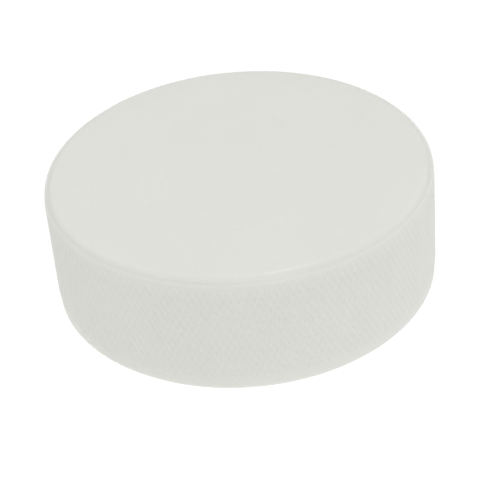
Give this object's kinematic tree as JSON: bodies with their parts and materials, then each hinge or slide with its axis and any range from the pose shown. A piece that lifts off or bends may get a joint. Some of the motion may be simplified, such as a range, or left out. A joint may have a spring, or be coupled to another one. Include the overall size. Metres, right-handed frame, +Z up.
{
  "type": "hockey puck",
  "caption": "Flat solid rubber disc with smooth bare faces, rounded bevels and a diamond-knurled side, slid over ice with a stick.",
  "frame": {"origin": "centre of the bottom face, on the surface that the puck lies on", "axes": "+Z up along the axis of the disc, from the bottom face to the top face"},
  "size_m": [0.0762, 0.0762, 0.0254],
  "materials": {
    "puck_rubber": "matt off-white moulded rubber"
  },
  "bodies": {
    "root": {"puck_body": "puck_rubber"}
  },
  "joints": []
}
